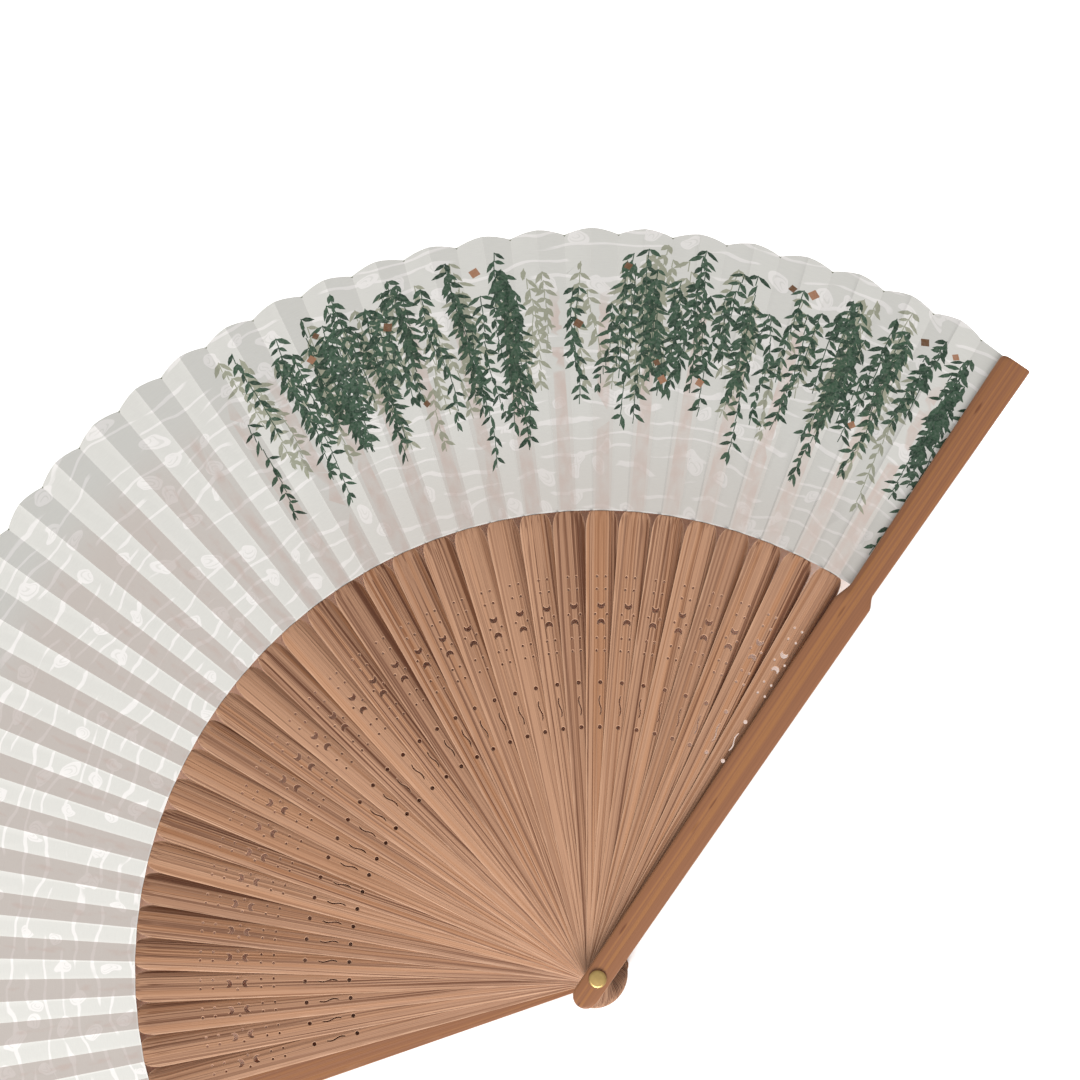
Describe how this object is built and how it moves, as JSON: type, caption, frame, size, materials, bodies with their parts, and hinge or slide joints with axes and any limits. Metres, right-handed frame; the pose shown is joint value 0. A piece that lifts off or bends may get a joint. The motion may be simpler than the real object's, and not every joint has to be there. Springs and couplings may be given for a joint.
{
  "type": "folding fan",
  "caption": "Folding fan lying open: thin pierced bamboo ribs and two guards turn on one rivet and carry a pleated cloth leaf.",
  "frame": {"origin": "on the rivet's axis, at the flat outer face of the rivet cap under the rear guard", "axes": "+Z along the rivet towards the front guard and the viewer, +Y along the middle of the open fan, +X towards the front guard's side, along the widest extent of the open fan"},
  "size_m": [0.3817, 0.2095, 0.0267],
  "materials": {
    "rib_bamboo": "fine dark lengthwise grain, satin",
    "guard_bamboo": "smoothed and lightly polished",
    "leaf_cloth": "woven flowing-water jacquard, printed on one half",
    "rivet_brass": "satin"
  },
  "bodies": {
    "root": {"rear_guard": "guard_bamboo", "leaf": "leaf_cloth", "rivet_pin": "rivet_brass", "rivet_cap": "rivet_brass"},
    "front_guard": {"front_guard": "guard_bamboo"},
    "rib_01": {"rib_01": "rib_bamboo"},
    "rib_02": {"rib_02": "rib_bamboo"},
    "rib_03": {"rib_03": "rib_bamboo"},
    "rib_04": {"rib_04": "rib_bamboo"},
    "rib_05": {"rib_05": "rib_bamboo"},
    "rib_06": {"rib_06": "rib_bamboo"},
    "rib_07": {"rib_07": "rib_bamboo"},
    "rib_08": {"rib_08": "rib_bamboo"},
    "rib_09": {"rib_09": "rib_bamboo"},
    "rib_10": {"rib_10": "rib_bamboo"},
    "rib_11": {"rib_11": "rib_bamboo"},
    "rib_12": {"rib_12": "rib_bamboo"},
    "rib_13": {"rib_13": "rib_bamboo"},
    "rib_14": {"rib_14": "rib_bamboo"},
    "rib_15": {"rib_15": "rib_bamboo"},
    "rib_16": {"rib_16": "rib_bamboo"},
    "rib_17": {"rib_17": "rib_bamboo"},
    "rib_18": {"rib_18": "rib_bamboo"},
    "rib_19": {"rib_19": "rib_bamboo"},
    "rib_20": {"rib_20": "rib_bamboo"},
    "rib_21": {"rib_21": "rib_bamboo"},
    "rib_22": {"rib_22": "rib_bamboo"},
    "rib_23": {"rib_23": "rib_bamboo"},
    "rib_24": {"rib_24": "rib_bamboo"},
    "rib_25": {"rib_25": "rib_bamboo"},
    "rib_26": {"rib_26": "rib_bamboo"},
    "rib_27": {"rib_27": "rib_bamboo"},
    "rib_28": {"rib_28": "rib_bamboo"},
    "rib_29": {"rib_29": "rib_bamboo"},
    "rib_30": {"rib_30": "rib_bamboo"},
    "rib_31": {"rib_31": "rib_bamboo"},
    "rib_32": {"rib_32": "rib_bamboo"},
    "rib_33": {"rib_33": "rib_bamboo"}
  },
  "joints": [
    {"name": "front_guard_turn", "type": "hinge", "parent": "root", "child": "front_guard", "pos_m": [0, 0, 0.0247], "axis": [0, 0, 1], "range_deg": [0, 142.8], "deforming": ["leaf"]},
    {"name": "rib_01_turn", "type": "hinge", "parent": "root", "child": "rib_01", "pos_m": [0, 0, 0.02295], "axis": [0, 0, 1], "range_deg": [0, 138.6]},
    {"name": "rib_02_turn", "type": "hinge", "parent": "root", "child": "rib_02", "pos_m": [0, 0, 0.02235], "axis": [0, 0, 1], "range_deg": [0, 134.4]},
    {"name": "rib_03_turn", "type": "hinge", "parent": "root", "child": "rib_03", "pos_m": [0, 0, 0.02175], "axis": [0, 0, 1], "range_deg": [0, 130.2]},
    {"name": "rib_04_turn", "type": "hinge", "parent": "root", "child": "rib_04", "pos_m": [0, 0, 0.02115], "axis": [0, 0, 1], "range_deg": [0, 126]},
    {"name": "rib_05_turn", "type": "hinge", "parent": "root", "child": "rib_05", "pos_m": [0, 0, 0.02055], "axis": [0, 0, 1], "range_deg": [0, 121.8]},
    {"name": "rib_06_turn", "type": "hinge", "parent": "root", "child": "rib_06", "pos_m": [0, 0, 0.01995], "axis": [0, 0, 1], "range_deg": [0, 117.6]},
    {"name": "rib_07_turn", "type": "hinge", "parent": "root", "child": "rib_07", "pos_m": [0, 0, 0.01935], "axis": [0, 0, 1], "range_deg": [0, 113.4]},
    {"name": "rib_08_turn", "type": "hinge", "parent": "root", "child": "rib_08", "pos_m": [0, 0, 0.01875], "axis": [0, 0, 1], "range_deg": [0, 109.2]},
    {"name": "rib_09_turn", "type": "hinge", "parent": "root", "child": "rib_09", "pos_m": [0, 0, 0.01815], "axis": [0, 0, 1], "range_deg": [0, 105]},
    {"name": "rib_10_turn", "type": "hinge", "parent": "root", "child": "rib_10", "pos_m": [0, 0, 0.01755], "axis": [0, 0, 1], "range_deg": [0, 100.8]},
    {"name": "rib_11_turn", "type": "hinge", "parent": "root", "child": "rib_11", "pos_m": [0, 0, 0.01695], "axis": [0, 0, 1], "range_deg": [0, 96.6]},
    {"name": "rib_12_turn", "type": "hinge", "parent": "root", "child": "rib_12", "pos_m": [0, 0, 0.01635], "axis": [0, 0, 1], "range_deg": [0, 92.4]},
    {"name": "rib_13_turn", "type": "hinge", "parent": "root", "child": "rib_13", "pos_m": [0, 0, 0.01575], "axis": [0, 0, 1], "range_deg": [0, 88.2]},
    {"name": "rib_14_turn", "type": "hinge", "parent": "root", "child": "rib_14", "pos_m": [0, 0, 0.01515], "axis": [0, 0, 1], "range_deg": [0, 84]},
    {"name": "rib_15_turn", "type": "hinge", "parent": "root", "child": "rib_15", "pos_m": [0, 0, 0.01455], "axis": [0, 0, 1], "range_deg": [0, 79.8]},
    {"name": "rib_16_turn", "type": "hinge", "parent": "root", "child": "rib_16", "pos_m": [0, 0, 0.01395], "axis": [0, 0, 1], "range_deg": [0, 75.6]},
    {"name": "rib_17_turn", "type": "hinge", "parent": "root", "child": "rib_17", "pos_m": [0, 0, 0.01335], "axis": [0, 0, 1], "range_deg": [0, 71.4]},
    {"name": "rib_18_turn", "type": "hinge", "parent": "root", "child": "rib_18", "pos_m": [0, 0, 0.01275], "axis": [0, 0, 1], "range_deg": [0, 67.2]},
    {"name": "rib_19_turn", "type": "hinge", "parent": "root", "child": "rib_19", "pos_m": [0, 0, 0.01215], "axis": [0, 0, 1], "range_deg": [0, 63]},
    {"name": "rib_20_turn", "type": "hinge", "parent": "root", "child": "rib_20", "pos_m": [0, 0, 0.01155], "axis": [0, 0, 1], "range_deg": [0, 58.8]},
    {"name": "rib_21_turn", "type": "hinge", "parent": "root", "child": "rib_21", "pos_m": [0, 0, 0.01095], "axis": [0, 0, 1], "range_deg": [0, 54.6]},
    {"name": "rib_22_turn", "type": "hinge", "parent": "root", "child": "rib_22", "pos_m": [0, 0, 0.01035], "axis": [0, 0, 1], "range_deg": [0, 50.4]},
    {"name": "rib_23_turn", "type": "hinge", "parent": "root", "child": "rib_23", "pos_m": [0, 0, 0.00975], "axis": [0, 0, 1], "range_deg": [0, 46.2]},
    {"name": "rib_24_turn", "type": "hinge", "parent": "root", "child": "rib_24", "pos_m": [0, 0, 0.00915], "axis": [0, 0, 1], "range_deg": [0, 42]},
    {"name": "rib_25_turn", "type": "hinge", "parent": "root", "child": "rib_25", "pos_m": [0, 0, 0.00855], "axis": [0, 0, 1], "range_deg": [0, 37.8]},
    {"name": "rib_26_turn", "type": "hinge", "parent": "root", "child": "rib_26", "pos_m": [0, 0, 0.00795], "axis": [0, 0, 1], "range_deg": [0, 33.6]},
    {"name": "rib_27_turn", "type": "hinge", "parent": "root", "child": "rib_27", "pos_m": [0, 0, 0.00735], "axis": [0, 0, 1], "range_deg": [0, 29.4]},
    {"name": "rib_28_turn", "type": "hinge", "parent": "root", "child": "rib_28", "pos_m": [0, 0, 0.00675], "axis": [0, 0, 1], "range_deg": [0, 25.2]},
    {"name": "rib_29_turn", "type": "hinge", "parent": "root", "child": "rib_29", "pos_m": [0, 0, 0.00615], "axis": [0, 0, 1], "range_deg": [0, 21]},
    {"name": "rib_30_turn", "type": "hinge", "parent": "root", "child": "rib_30", "pos_m": [0, 0, 0.00555], "axis": [0, 0, 1], "range_deg": [0, 16.8]},
    {"name": "rib_31_turn", "type": "hinge", "parent": "root", "child": "rib_31", "pos_m": [0, 0, 0.00495], "axis": [0, 0, 1], "range_deg": [0, 12.6]},
    {"name": "rib_32_turn", "type": "hinge", "parent": "root", "child": "rib_32", "pos_m": [0, 0, 0.00435], "axis": [0, 0, 1], "range_deg": [0, 8.4]},
    {"name": "rib_33_turn", "type": "hinge", "parent": "root", "child": "rib_33", "pos_m": [0, 0, 0.00375], "axis": [0, 0, 1], "range_deg": [0, 4.2]}
  ],
  "couplings": [
    {"joint": "rib_01_turn", "follows": "front_guard_turn", "ratio": 0.97059},
    {"joint": "rib_02_turn", "follows": "front_guard_turn", "ratio": 0.94118},
    {"joint": "rib_03_turn", "follows": "front_guard_turn", "ratio": 0.91176},
    {"joint": "rib_04_turn", "follows": "front_guard_turn", "ratio": 0.88235},
    {"joint": "rib_05_turn", "follows": "front_guard_turn", "ratio": 0.85294},
    {"joint": "rib_06_turn", "follows": "front_guard_turn", "ratio": 0.82353},
    {"joint": "rib_07_turn", "follows": "front_guard_turn", "ratio": 0.79412},
    {"joint": "rib_08_turn", "follows": "front_guard_turn", "ratio": 0.76471},
    {"joint": "rib_09_turn", "follows": "front_guard_turn", "ratio": 0.73529},
    {"joint": "rib_10_turn", "follows": "front_guard_turn", "ratio": 0.70588},
    {"joint": "rib_11_turn", "follows": "front_guard_turn", "ratio": 0.67647},
    {"joint": "rib_12_turn", "follows": "front_guard_turn", "ratio": 0.64706},
    {"joint": "rib_13_turn", "follows": "front_guard_turn", "ratio": 0.61765},
    {"joint": "rib_14_turn", "follows": "front_guard_turn", "ratio": 0.58824},
    {"joint": "rib_15_turn", "follows": "front_guard_turn", "ratio": 0.55882},
    {"joint": "rib_16_turn", "follows": "front_guard_turn", "ratio": 0.52941},
    {"joint": "rib_17_turn", "follows": "front_guard_turn", "ratio": 0.5},
    {"joint": "rib_18_turn", "follows": "front_guard_turn", "ratio": 0.47059},
    {"joint": "rib_19_turn", "follows": "front_guard_turn", "ratio": 0.44118},
    {"joint": "rib_20_turn", "follows": "front_guard_turn", "ratio": 0.41176},
    {"joint": "rib_21_turn", "follows": "front_guard_turn", "ratio": 0.38235},
    {"joint": "rib_22_turn", "follows": "front_guard_turn", "ratio": 0.35294},
    {"joint": "rib_23_turn", "follows": "front_guard_turn", "ratio": 0.32353},
    {"joint": "rib_24_turn", "follows": "front_guard_turn", "ratio": 0.29412},
    {"joint": "rib_25_turn", "follows": "front_guard_turn", "ratio": 0.26471},
    {"joint": "rib_26_turn", "follows": "front_guard_turn", "ratio": 0.23529},
    {"joint": "rib_27_turn", "follows": "front_guard_turn", "ratio": 0.20588},
    {"joint": "rib_28_turn", "follows": "front_guard_turn", "ratio": 0.17647},
    {"joint": "rib_29_turn", "follows": "front_guard_turn", "ratio": 0.14706},
    {"joint": "rib_30_turn", "follows": "front_guard_turn", "ratio": 0.11765},
    {"joint": "rib_31_turn", "follows": "front_guard_turn", "ratio": 0.088235},
    {"joint": "rib_32_turn", "follows": "front_guard_turn", "ratio": 0.058824},
    {"joint": "rib_33_turn", "follows": "front_guard_turn", "ratio": 0.029412}
  ]
}
